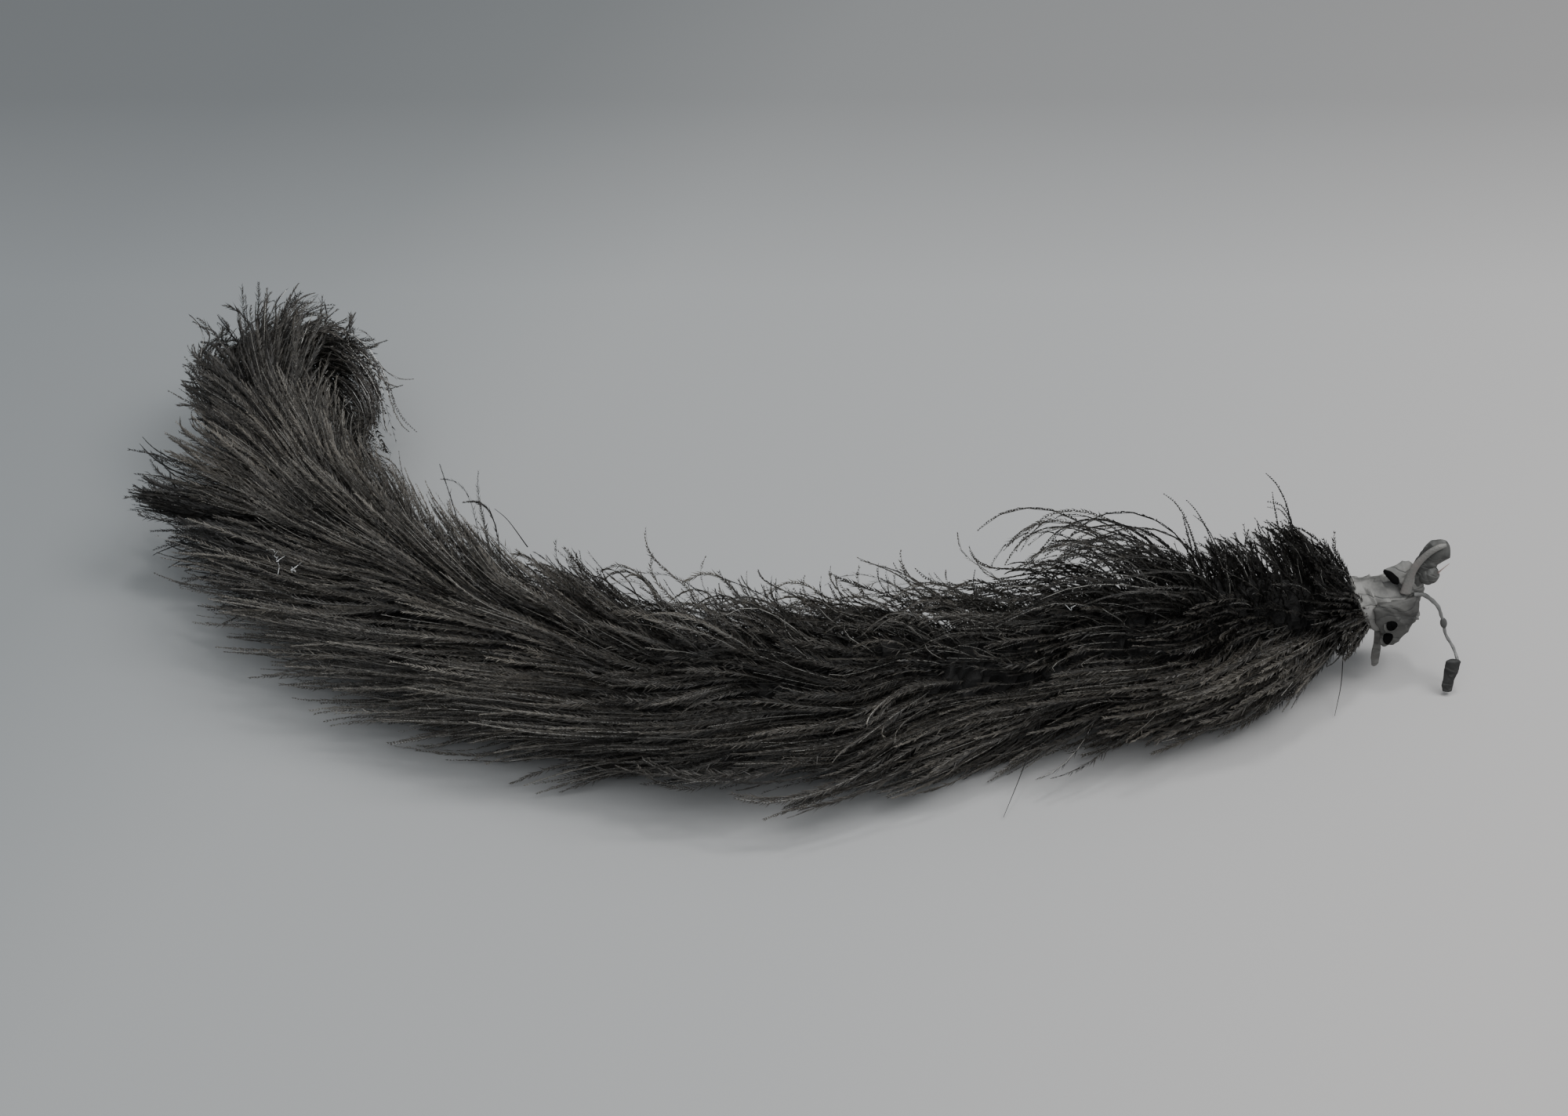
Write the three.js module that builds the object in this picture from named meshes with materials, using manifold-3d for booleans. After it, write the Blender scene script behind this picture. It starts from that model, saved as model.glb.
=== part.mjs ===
// A black ostrich plume for a hat, lying on its side on a table, with the bound foot that it was sewn in by.
// Millimetres, +Z up, the table at Z = 0. The shaft runs from its bound foot at +X to the curled tip at -X.
//
// feather: the shaft with its vanes, which swell into one shaggy tail of overlapping locks. It grew as one piece.
// binding: crumpled tape wound over the foot of the shaft. tape_tail: its loose frayed end.
// stem: the taped stalk that stands up out of the binding. stem_wire: the bare wire folded over it.
// fine_wire: a thin wire that springs out of the binding. tape_scrap: the bit of tape left on its end.

import * as THREE from "three";
import { mergeVertices } from "three/addons/utils/BufferGeometryUtils.js";
import Module from "manifold-3d";

const wasm = await Module();
wasm.setup();

// ---- driving dimensions -------------------------------------------------------------------------

// The line that the plume follows, from inside the binding to the end of the curl.
const SPINE = [
  [112, -29.5, 15.5],
  [104.4, -30.4, 14],
  [83.5, -34.7, 14],
  [54.8, -43, 15],
  [26.9, -51.8, 16],
  [0, -54.5, 16],
  [-20.2, -52.3, 17],
  [-41, -43.2, 17],
  [-62.9, -28.6, 18],
  [-80.5, -11, 19],
  [-94.2, 6.5, 20],
  [-102.8, 26.4, 20],
  [-101.4, 42.2, 20],
  [-92.9, 47.6, 19],
  [-84.8, 42.5, 16],
  [-79.5, 31, 13],
];
const SHAFT_FOOT_R = 1.7;
const SHAFT_TIP_R = 0.5;
const SHAFT_FROM = 0.012; // shares of the spine between which the shaft runs; beyond it only barbs go on
const SHAFT_TO = 0.88;

// How far the vanes reach from the spine: share of the spine, then up, to the outer side of the curl, down
// (as far as the table lets them), and to its inner side.
const REACH = [
  [0.0, 4, 3, 3, 3],
  [0.03, 9, 6, 5, 6],
  [0.05, 15, 9, 9, 9],
  [0.07, 17, 12, 14, 11],
  [0.12, 19, 15, 20, 12],
  [0.22, 21, 16, 23, 14],
  [0.32, 18, 13, 24, 11],
  [0.45, 17, 14.5, 25, 10],
  [0.55, 17, 23, 33, 9],
  [0.65, 17, 30, 37, 8],
  [0.73, 17, 30, 36, 9],
  [0.8, 16, 21, 30, 16],
  [0.86, 15, 13, 24, 20],
  [0.92, 13, 11, 20, 15],
  [0.97, 10, 9, 14, 9],
  [1.0, 5, 5, 7, 5],
];
const BODY_SHARE = 0.66; // the close mass of the vanes, as a share of their reach
const OUTER_SHARE = 0.84; // the same on the outer side of the curl, where they lie closest
const BODY_SIDES = 10;
const BODY_STEPS = 26;

const LOCK_ROWS = 10;
const LOCKS_ROUND = 6;
const LOCK_FIRST = 0.045; // share of the spine where the first and last rows grow
const LOCK_LAST = 0.93;
const LOCK_LENGTH = 50;
const LOCK_SCALE = [
  [0.04, 0.6],
  [0.2, 1],
  [0.6, 1],
  [0.72, 0.68],
  [0.92, 0.49],
]; // how a lock's length changes with its share of the spine
const LOCK_WIDTH = 15;
const LOCK_THICK = 5.5;
const LOCK_STEPS = 6;
const LOCK_SIDES = 4;
const LOCK_SPREAD = 150; // degrees to each side of the top that locks grow at; the table is below
const LOCK_LIFT = 50; // degrees between a lock's root and the shaft
const LOCK_STIFF = 0.45; // how much of its way a lock keeps at each step

// Thin tufts that stand out of the tail: share of the spine, degrees from the top, length, layer, stiffness.
const TUFTS = [
  [0.035, -8, 17, 1.2, 0.9],
  [0.07, 8, 20, 1.3, 0.88],
  [0.11, 12, 26, 1.5, 0.88],
  [0.16, -10, 26, 1.4, 0.88],
  [0.2, 20, 34, 1.6, 0.88],
  [0.27, 25, 30, 1.4, 0.8],
  [0.34, 10, 28, 1.3, 0.7],
  [0.57, 45, 24, 1.5, 0.82],
  [0.67, 66, 34, 1.6, 0.8],
  [0.04, -135, 24, 1.3, 0.8],
  [0.07, -110, 36, 1.2, 0.6],
  [0.19, -105, 40, 1.2, 0.6],
  [0.33, -108, 40, 1.3, 0.62],
  [0.5, -110, 44, 1.1, 0.6],
  [0.725, -88, 33, 1.0, 0.66],
  [0.78, -60, 26, 1.1, 0.7],
  [0.87, 60, 30, 1.3, 0.6],
];
const TUFT_WIDTH = 4.5;

// The binding: the line it is wound on, how far its ends slant, and the folded end that hangs from it.
const SLEEVE = [
  [102.8, -30.6, 14.4],
  [112.4, -29.9, 15.6],
];
const SLEEVE_R = 4.8;
const SLEEVE_SLANT = -0.55;
const SLEEVE_SIDES = 9;
const FLAP = [
  [111.6, -31.0, 14.6],
  [111.4, -32.2, 11.8],
  [109.4, -33.4, 8.2],
];
const FLAP_R = 2.6;
const FOLD = [
  [107.6, -30.2, 18.6],
  [109.6, -30.6, 22.6],
];
const FOLD_R = 1.2;
const FLAP_MOUTH = [
  [110.0, -33.0, 9.4],
  [108.6, -34.0, 6.4],
];
const FLAP_MOUTH_R = 1.5;

// What comes out of the binding, each as a line through its middle.
const STEM = [
  [110.0, -30.8, 18.0],
  [110.9, -30.9, 20.6],
  [112.0, -30.9, 23.1],
  [113.1, -30.9, 25.6],
  [114.7, -30.9, 28.1],
];
const STEM_R = 2.0;
const STEM_LUMP = [
  [113.2, -31.7, 21.8],
  [114.7, -32.1, 23.7],
];
const STEM_LUMP_R = 1.3;
const STEM_WIRE = [
  [109.8, -33.5, 19.7],
  [110.5, -33.6, 22.6],
  [111.0, -33.5, 25.4],
  [112.3, -33.4, 28.5],
  [114.4, -33.1, 30.5],
  [115.7, -32.4, 31.2],
];
const STEM_WIRE_R = 0.38;
const FINE_WIRE = [
  [112.7, -32.1, 18.4],
  [113.9, -32.1, 18.5],
  [116.3, -32.5, 16.8],
  [117.1, -33.0, 14.5],
  [117.5, -33.5, 12.2],
  [118.6, -34.2, 10.0],
  [119.7, -35.4, 8.6],
  [120.8, -36.8, 7.4],
];
const FINE_WIRE_R = 0.33;
const FINE_WIRE_KNOT = 0.57; // share of the wire at which a bit of tape thickens it
const FINE_WIRE_KNOT_R = 0.65;
const TAIL = [
  [106.2, -33.2, 12.4],
  [106.3, -34.1, 9.6],
  [106.4, -34.3, 6.5],
  [106.6, -34.2, 3.4],
];
const TAIL_R = 0.8;
const TAIL_FLAT = 0.4;
const SCRAP = [
  [120.2, -37.0, 6.5],
  [119.9, -37.5, 4.0],
  [119.9, -38.4, 1.2],
];
const SCRAP_R = 1.1;
const SCRAP_FLAT = 0.35;

const MIDDLE = [-1.5, -8.5]; // middle of the plume's box on the table, which is the part's origin
const GAP = 0.3; // between pieces that touch
const TABLE_BITE = 0.9; // what the table presses flat of the lowest locks

const INK = { color: 0x1d1b19, roughness: 0.6, metalness: 0 };
const TAPE = { color: 0x8b8a85, roughness: 0.75, metalness: 0 };
const DARK_TAPE = { color: 0x3a3a36, roughness: 0.6, metalness: 0 };
const WIRE = { color: 0x77756b, roughness: 0.5, metalness: 0.2 };

// ---- small tools --------------------------------------------------------------------------------

const mix = THREE.MathUtils.lerp;
const at = (point) => new THREE.Vector3(...point);

// A repeatable number from 0 to 1 for each whole number.
function chance(n) {
  const x = Math.sin(n * 127.1 + 11.7) * 43758.5453;
  return x - Math.floor(x);
}

// A straight-line reading of a table whose first column rises.
function read(table, x, column) {
  const after = table.findIndex((row) => row[0] > x);
  if (after < 0) return table.at(-1)[column];
  if (after === 0) return table[0][column];
  const [low, high] = [table[after - 1], table[after]];
  return mix(low[column], high[column], (x - low[0]) / (high[0] - low[0]));
}

// A closed skin over rings of points, with a pole at each end. Each ring turns right-handed about the way on.
function skin(rings, first, last) {
  const sides = rings[0].length;
  const points = [first, ...rings.flat(), last];
  const faces = [];
  const place = (ring, side) => 1 + ring * sides + (side % sides);
  for (let j = 0; j < sides; j++) {
    faces.push(0, place(0, j + 1), place(0, j));
    for (let i = 0; i + 1 < rings.length; i++) {
      faces.push(place(i, j), place(i, j + 1), place(i + 1, j));
      faces.push(place(i, j + 1), place(i + 1, j + 1), place(i + 1, j));
    }
    faces.push(points.length - 1, place(rings.length - 1, j), place(rings.length - 1, j + 1));
  }
  const geometry = new THREE.BufferGeometry().setFromPoints(points);
  geometry.setIndex(faces);
  return geometry;
}

function toSolid(geometry) {
  const bare = new THREE.BufferGeometry().setAttribute("position", geometry.getAttribute("position"));
  bare.setIndex(geometry.index);
  const merged = mergeVertices(bare, 1e-4);
  const made = new wasm.Manifold(
    new wasm.Mesh({
      numProp: 3,
      vertProperties: new Float32Array(merged.attributes.position.array),
      triVerts: new Uint32Array(merged.index.array),
    }),
  );
  if (made.volume() < 0) throw new Error("a skin is inside out");
  return made;
}

function toGeometry(solid) {
  const mesh = solid.getMesh();
  const geometry = new THREE.BufferGeometry();
  geometry.setAttribute("position", new THREE.BufferAttribute(new Float32Array(mesh.vertProperties), 3));
  geometry.setIndex(new THREE.BufferAttribute(new Uint32Array(mesh.triVerts), 1));
  geometry.computeVertexNormals();
  return geometry;
}

// The largest shell of a solid, which leaves out any hollow sealed inside it.
function outside(solid) {
  const shells = solid.decompose();
  shells.sort((a, b) => b.volume() - a.volume());
  return shells[0];
}

// A block, kept as a solid for cuts.
function block(low, high) {
  const size = at(high).sub(at(low));
  const geometry = new THREE.BoxGeometry(...size).translate(...at(low).addScaledVector(size, 0.5));
  return toSolid(geometry);
}

// ---- the spine and the way that barbs lie on it ---------------------------------------------------

const spine = new THREE.CatmullRomCurve3(SPINE.map(at), false, "catmullrom", 0.5);
const UP = new THREE.Vector3(0, 0, 1);
const STATIONS = 160;

// Point, way along, upward and sideways directions at a share of the spine's length.
function stationAt(share) {
  const along = spine.getTangentAt(share);
  const up = UP.clone().addScaledVector(along, -UP.dot(along)).normalize();
  return { share, point: spine.getPointAt(share), along, up, side: along.clone().cross(up) };
}
const stations = Array.from({ length: STATIONS + 1 }, (_, i) => stationAt(i / STATIONS));

// The way out from the spine at an angle round it: 0 is up, and 90 degrees is the inner side of the curl.
const outward = (station, angle) =>
  station.up.clone().multiplyScalar(Math.cos(angle)).addScaledVector(station.side, Math.sin(angle));

// The vanes' reach in that direction: a quarter of an ellipse in each quarter, cut short by the table.
function reachAt(station, angle) {
  const [cos, sin] = [Math.cos(angle), Math.sin(angle)];
  const upright = read(REACH, station.share, cos > 0 ? 1 : 3);
  const level = read(REACH, station.share, sin < 0 ? 2 : 4);
  const round = 1 / Math.hypot(cos / upright, sin / level);
  const fall = -outward(station, angle).z;
  return fall > 0.05 ? Math.min(round, (station.point.z + TABLE_BITE) / fall) : round;
}

// A lock's path: it leaves the shaft at LOCK_LIFT, climbs to its layer of the vanes and then lies along
// the spine. Each step turns part of the way from the last direction to the flow where it has got to.
function lockPath(share, angle, length, layer, stiff) {
  const root = stationAt(share);
  const lift = THREE.MathUtils.degToRad(LOCK_LIFT);
  const way = root.along.clone().multiplyScalar(Math.cos(lift));
  way.addScaledVector(outward(root, angle), Math.sin(lift));
  const point = root.point.clone().addScaledVector(outward(root, angle), 0.3 * reachAt(root, angle));
  const step = length / LOCK_STEPS;
  const path = [];
  let nearest = Math.round(share * STATIONS);
  for (let i = 0; i <= LOCK_STEPS; i++) {
    while (
      nearest < STATIONS &&
      stations[nearest + 1].point.distanceTo(point) < stations[nearest].point.distanceTo(point)
    )
      nearest++;
    const here = stations[nearest];
    const out = point.clone().sub(here.point);
    out.addScaledVector(here.along, -out.dot(here.along));
    const far = Math.max(out.length(), 0.1);
    out.divideScalar(far);
    path.push({ point: point.clone(), out: out.clone() });
    const round = Math.atan2(out.dot(here.side), out.dot(here.up));
    const climb = (layer * reachAt(here, round) - far) / (0.3 * length);
    const flow = here.along.clone().addScaledVector(out, THREE.MathUtils.clamp(climb, -0.6, 1));
    way.multiplyScalar(stiff).addScaledVector(flow.normalize(), 1 - stiff).normalize();
    point.addScaledVector(way, step);
    point.z = Math.max(point.z, 0.6);
  }
  return path;
}

// A flat tapering lock round its path: widest a third of the way up, and pointed at both ends.
function lock(share, angle, length, layer, width, stiff = LOCK_STIFF) {
  const path = lockPath(share, angle, length, layer, stiff);
  const thin = Math.min(LOCK_THICK, 0.8 * width);
  const rings = [];
  for (let i = 1; i < LOCK_STEPS; i++) {
    const way = path[i + 1].point.clone().sub(path[i - 1].point).normalize();
    const thick = path[i].out.clone().addScaledVector(way, -path[i].out.dot(way)).normalize();
    const across = way.clone().cross(thick);
    const swell = Math.sin(Math.PI * Math.pow(i / LOCK_STEPS, 0.7));
    rings.push(
      Array.from({ length: LOCK_SIDES }, (_, j) => {
        const turn = (2 * Math.PI * j) / LOCK_SIDES;
        return path[i].point
          .clone()
          .addScaledVector(across, (width / 2) * swell * Math.sin(turn))
          .addScaledVector(thick, (thin / 2) * Math.sqrt(swell) * Math.cos(turn));
      }),
    );
  }
  return toSolid(skin(rings, path[0].point, path[LOCK_STEPS].point));
}

// ---- the feather ----------------------------------------------------------------------------------

// A tube along the spine, whose radius at each place comes from radiusAt(station, angle).
function spineTube(from, to, steps, sides, radiusAt) {
  const rings = Array.from({ length: steps + 1 }, (_, i) => {
    const station = stationAt(mix(from, to, i / steps));
    return Array.from({ length: sides }, (_, j) => {
      const angle = (2 * Math.PI * j) / sides;
      return station.point.clone().addScaledVector(outward(station, angle), radiusAt(station, angle));
    });
  });
  return skin(rings, stationAt(from).point, stationAt(to).point);
}

// The shaft, or with grow more than 0 the room that it takes up in the binding.
function shaft(grow, from) {
  return toSolid(spineTube(from, SHAFT_TO, 40, 8, (s) => grow + mix(SHAFT_FOOT_R, SHAFT_TIP_R, s.share)));
}

function makeFeather() {
  const body = spineTube(LOCK_FIRST - 0.015, 0.995, BODY_STEPS, BODY_SIDES, (s, angle) => {
    const below = outward(s, angle).z < -0.7;
    const full = below ? 1 : Math.sin(angle) < -0.5 ? OUTER_SHARE : BODY_SHARE;
    return full * reachAt(s, angle);
  });
  const parts = [toSolid(body)];
  for (let row = 0; row < LOCK_ROWS; row++) {
    for (let i = 0; i < LOCKS_ROUND; i++) {
      const n = row * LOCKS_ROUND + i;
      const share = mix(LOCK_FIRST, LOCK_LAST, (row + 0.5 * chance(n)) / LOCK_ROWS);
      const round = (i + 0.25 + 0.5 * (row % 2)) / LOCKS_ROUND + 0.04 * (chance(n + 500) - 0.5);
      const angle = THREE.MathUtils.degToRad(mix(-LOCK_SPREAD, LOCK_SPREAD, round));
      const length = LOCK_LENGTH * read(LOCK_SCALE, share, 1) * mix(0.88, 1.08, chance(n + 100));
      const layer = mix(0.85, 1.05, chance(n + 200));
      parts.push(lock(share, angle, length, layer, LOCK_WIDTH * mix(0.8, 1.15, chance(n + 300))));
    }
  }
  for (const [share, angle, length, layer, stiff] of TUFTS) {
    parts.push(lock(share, THREE.MathUtils.degToRad(angle), length, layer, TUFT_WIDTH, stiff));
  }
  const vanes = wasm.Manifold.union(parts).subtract(sleeve(GAP));
  return outside(vanes.add(shaft(0, SHAFT_FROM)).subtract(block([-200, -200, -60], [200, 200, 0])));
}

// ---- the bound foot -------------------------------------------------------------------------------

// A tube with blunt ends through a few points. radiusAt gives its radius at each share of its length, and
// flat is its other radius as a share of that.
function rod(points, radiusAt, { sides = 8, steps = 8, flat = 1 } = {}) {
  const curve = new THREE.CatmullRomCurve3(points.map(at), false, "catmullrom", 0.5);
  const { normals, binormals, tangents } = curve.computeFrenetFrames(steps, false);
  const rings = Array.from({ length: steps + 1 }, (_, i) => {
    const r = radiusAt(i / steps);
    return Array.from({ length: sides }, (_, j) => {
      const turn = (2 * Math.PI * j) / sides;
      return curve
        .getPointAt(i / steps)
        .addScaledVector(normals[i], r * Math.cos(turn))
        .addScaledVector(binormals[i], r * flat * Math.sin(turn));
    });
  });
  const cap = (end) => curve.getPointAt(end).addScaledVector(tangents[end * steps], (end - 0.5) * radiusAt(end));
  return toSolid(skin(rings, cap(0), cap(1)));
}

// The tape wound round the foot, uneven like something wound by hand; grow makes it larger all over.
function sleeve(grow) {
  const [from, to] = SLEEVE.map(at);
  const along = to.clone().sub(from).normalize();
  const side = along.clone().cross(UP).normalize();
  const up = side.clone().cross(along);
  from.addScaledVector(along, -grow);
  to.addScaledVector(along, grow);
  const steps = 5;
  const rings = Array.from({ length: steps + 1 }, (_, i) =>
    Array.from({ length: SLEEVE_SIDES }, (_, j) => {
      const turn = (2 * Math.PI * j) / SLEEVE_SIDES;
      const r = grow + SLEEVE_R * (0.92 + 0.16 * chance(i * 31 + j * 7)) * (i === 0 || i === steps ? 0.86 : 1);
      const point = from.clone().lerp(to, i / steps);
      const high = r * Math.cos(turn);
      point.addScaledVector(up, high).addScaledVector(side, r * Math.sin(turn));
      return point.addScaledVector(along, SLEEVE_SLANT * high);
    }),
  );
  return toSolid(skin(rings, from, to));
}

function makeBinding() {
  const flap = rod(FLAP, (t) => FLAP_R * (0.85 + 0.25 * t), { steps: 5, flat: 0.8 });
  const mouth = rod(FLAP_MOUTH, () => FLAP_MOUTH_R, { sides: 6, steps: 2 });
  return sleeve(0)
    .add(flap)
    .add(rod(FOLD, () => FOLD_R, { sides: 6, steps: 2, flat: 0.6 }))
    .subtract(mouth)
    .subtract(shaft(GAP, 0.004))
    .subtract(rod(STEM, () => STEM_R + GAP))
    .subtract(rod(STEM_WIRE, () => STEM_WIRE_R + GAP))
    .subtract(rod(FINE_WIRE, () => FINE_WIRE_R + GAP, { steps: 16 }))
    .subtract(rod(TAIL, () => TAIL_R + GAP));
}

function makeStem() {
  const stalk = rod(STEM, (t) => STEM_R * (t > 0.9 ? 0.75 : 0.94 + 0.06 * Math.cos(9 * t)));
  return stalk.add(rod(STEM_LUMP, () => STEM_LUMP_R, { sides: 6, steps: 2 }));
}

function fineWireRadius(t) {
  const near = 1 - Math.min(1, Math.abs(t - FINE_WIRE_KNOT) / 0.09);
  return mix(FINE_WIRE_R, FINE_WIRE_KNOT_R, Math.sqrt(near));
}

// ---- the plume ------------------------------------------------------------------------------------

const plume = new THREE.Group();

function add(name, solid, finish) {
  const geometry = toGeometry(solid).translate(-MIDDLE[0], -MIDDLE[1], 0);
  const mesh = new THREE.Mesh(geometry, new THREE.MeshStandardMaterial(finish));
  mesh.name = name;
  plume.add(mesh);
}

add("feather", makeFeather(), INK);
add("binding", makeBinding(), TAPE);
add("stem", makeStem(), DARK_TAPE);
add("stem_wire", rod(STEM_WIRE, () => STEM_WIRE_R, { sides: 6, steps: 12 }), WIRE);
add("fine_wire", rod(FINE_WIRE, fineWireRadius, { sides: 6, steps: 24 }), WIRE);
add("tape_tail", rod(TAIL, () => TAIL_R, { flat: TAIL_FLAT }), TAPE);
add("tape_scrap", rod(SCRAP, () => SCRAP_R, { sides: 6, steps: 4, flat: SCRAP_FLAT }), DARK_TAPE);

export default plume;
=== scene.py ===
"""A black ostrich plume for a hat, lying on its side, with the taped and wired foot it was sewn in by.

Every shape is worked out in millimetres in the maker's own frame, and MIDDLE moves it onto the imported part.
"""

import math
from dataclasses import dataclass

import bpy
import numpy as np
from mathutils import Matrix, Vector


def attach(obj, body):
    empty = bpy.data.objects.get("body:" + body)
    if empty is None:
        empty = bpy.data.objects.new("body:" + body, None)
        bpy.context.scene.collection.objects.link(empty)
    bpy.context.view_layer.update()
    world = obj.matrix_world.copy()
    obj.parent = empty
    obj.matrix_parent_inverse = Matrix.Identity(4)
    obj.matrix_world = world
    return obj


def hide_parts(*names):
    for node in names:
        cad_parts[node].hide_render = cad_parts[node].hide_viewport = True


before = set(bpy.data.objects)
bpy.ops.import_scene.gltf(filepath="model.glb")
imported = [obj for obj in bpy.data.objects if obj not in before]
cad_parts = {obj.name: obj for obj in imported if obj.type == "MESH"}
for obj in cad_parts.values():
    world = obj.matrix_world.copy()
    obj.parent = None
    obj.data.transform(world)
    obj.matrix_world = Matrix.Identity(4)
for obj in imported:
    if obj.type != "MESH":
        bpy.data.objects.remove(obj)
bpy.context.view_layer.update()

MM = 0.001
MIDDLE = np.array([-1.5, -8.5, 0.0])

# ---- the line of the plume, and how far its vanes reach from it ----

SPINE = [
    (112, -29.5, 15.5), (104.4, -30.4, 14), (83.5, -34.7, 14), (54.8, -43, 15), (26.9, -51.8, 16),
    (0, -54.5, 16), (-20.2, -52.3, 17), (-41, -43.2, 17), (-62.9, -28.6, 18), (-80.5, -11, 19),
    (-94.2, 6.5, 20), (-102.4, 24.5, 20), (-101.8, 35.5, 20), (-95.5, 38.5, 19), (-88.0, 34.0, 17),
    (-81.5, 24.5, 14),
]
STATIONS = 420
# share of the spine, then reach up, to the outer side of the curl, down, and to its inner side
REACH = np.array([
    (0.00, 4, 3, 3, 3), (0.03, 10, 7, 6, 6), (0.05, 16, 10, 10, 9), (0.07, 17, 12, 14, 11),
    (0.12, 18, 14, 19, 12), (0.22, 20, 13, 20, 14), (0.32, 18, 11, 21, 11), (0.45, 18, 15, 26, 10),
    (0.55, 18, 26, 36, 9), (0.65, 17, 35, 42, 9), (0.73, 15, 29, 37, 10), (0.80, 13, 22, 30, 15),
    (0.86, 11, 14, 22, 17), (0.92, 9, 8, 18, 13), (0.97, 8, 7, 14, 9), (1.00, 6, 6, 8, 7),
])
# share of the spine, then how much of the vanes' reach the dark core fills: painted shade for the depth
# between the barbs
SHADE_CORE = np.array([
    (0.03, 0.4), (0.06, 0.50), (0.13, 0.57), (0.26, 0.57), (0.5, 0.46), (0.62, 0.4), (0.80, 0.4),
    (0.92, 0.05),
])
SHADE_CORE_SHARES = (0.03, 0.9)
SPAN_POINTS = 60  # points on each span of a curve, before they are spaced evenly


def unit(v):
    """Each vector over its own length."""
    return v / np.maximum(np.linalg.norm(v, axis=-1, keepdims=True), 1e-9)


def dot(a, b):
    """The scalar product along the last axis, kept as a column."""
    return np.sum(a * b, axis=-1, keepdims=True)


def smooth_curve(points, count):
    """Points spaced evenly along the uniform Catmull-Rom curve through points, whose two ends are
    carried on by mirroring, so that each span is the cubic with slopes half the chord of its neighbours."""
    p = np.asarray(points, float)
    p = np.vstack([2 * p[0] - p[1], p, 2 * p[-1] - p[-2]])
    t = np.linspace(0, 1, SPAN_POINTS, endpoint=False)[None, :, None]
    a, b, c, d = (p[i : len(p) - 3 + i][:, None, :] for i in range(4))
    fine = 0.5 * (2 * b + (c - a) * t + (2 * a - 5 * b + 4 * c - d) * t**2 + (3 * b - a - 3 * c + d) * t**3)
    fine = np.vstack([fine.reshape(-1, 3), p[-2]])
    run = np.r_[0, np.cumsum(np.linalg.norm(np.diff(fine, axis=0), axis=1))]
    even = np.linspace(0, run[-1], count)
    return np.stack([np.interp(even, run, fine[:, i]) for i in range(3)], axis=-1)


spine = smooth_curve(SPINE, STATIONS)
along = unit(np.gradient(spine, axis=0))
upward = unit(np.array([0, 0, 1.0]) - along * along[:, 2:3])
inward = np.cross(along, upward)  # to the inner side of the curl


def outward(k, angle):
    """The way out from station k at an angle round the spine: 0 is up, +90 degrees the curl's inner side."""
    return np.cos(angle)[..., None] * upward[k] + np.sin(angle)[..., None] * inward[k]


def reach_at(k, angle):
    """The vanes' reach: a quarter of an ellipse in each quarter turn, cut short just under the table."""
    share = k / (STATIONS - 1)
    cos, sin = np.cos(angle), np.sin(angle)
    up, outer, down, inner = (np.interp(share, REACH[:, 0], REACH[:, i]) for i in range(1, 5))
    level, upright = np.where(sin < 0, outer, inner), np.where(cos > 0, up, down)
    reach = 1 / np.hypot(cos / upright, sin / level)
    fall = -outward(k, angle)[..., 2]
    floor = (spine[k][..., 2] + 0.5) / np.maximum(fall, 0.05)
    return np.where(fall > 0.05, np.minimum(reach, floor), reach)


def shade_core_reach(k, angle):
    """The ragged reach of the dark core, painted shade between the barbs: the table's part of the vanes'
    reach, times 0.7 to 1.15 at random.
    """
    ragged = 0.7 + 0.45 * np.random.default_rng(7).random(k.shape)
    return np.interp(k / STATIONS, SHADE_CORE[:, 0], SHADE_CORE[:, 1]) * reach_at(k, angle) * ragged


def eddy(p, size, seed):
    """A smooth field of small vectors: each part is the mean of two sines of the place, size apart."""
    ways = np.random.default_rng(seed).normal(size=(6, 3))
    waves = np.sin(p @ unit(ways).T * (2 * math.pi / size) + np.arange(6) * 1.7)
    return waves[..., :3] * 0.5 + waves[..., 3:] * 0.5


# ---- growing the barbs ----

STEPS = 18  # straight steps in a barb
LOOK_AHEAD = 14  # stations among which a growing barb looks for its nearest
ROOT_OUT, ROOT_REACH = 1.2, 0.2  # a root lies this far out in mm, or at this share of the reach if less
REST, REST_SPREAD = 0.3, 1.6  # barbs come to rest this high above the table, and up to so much higher
LOWEST_PATH, LOWEST_POINT = 0.25, 0.12  # no path and no point of a barb lies lower than this
CLIMB = (-0.6, 1.0)  # the most that a barb sinks or rises for each step along
WIDE_EDDY, SMALL_EDDY = (26, 3), (9, 4)  # size in mm and seed
LATE = 0.6  # share of a barb from which curl and flare act
SPINE_WEIGHT = 5.5  # the whole spine counts as this many radians when a barb looks for its lock
STRIDE = 6  # every so many points are enough for the way out from the spine


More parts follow.
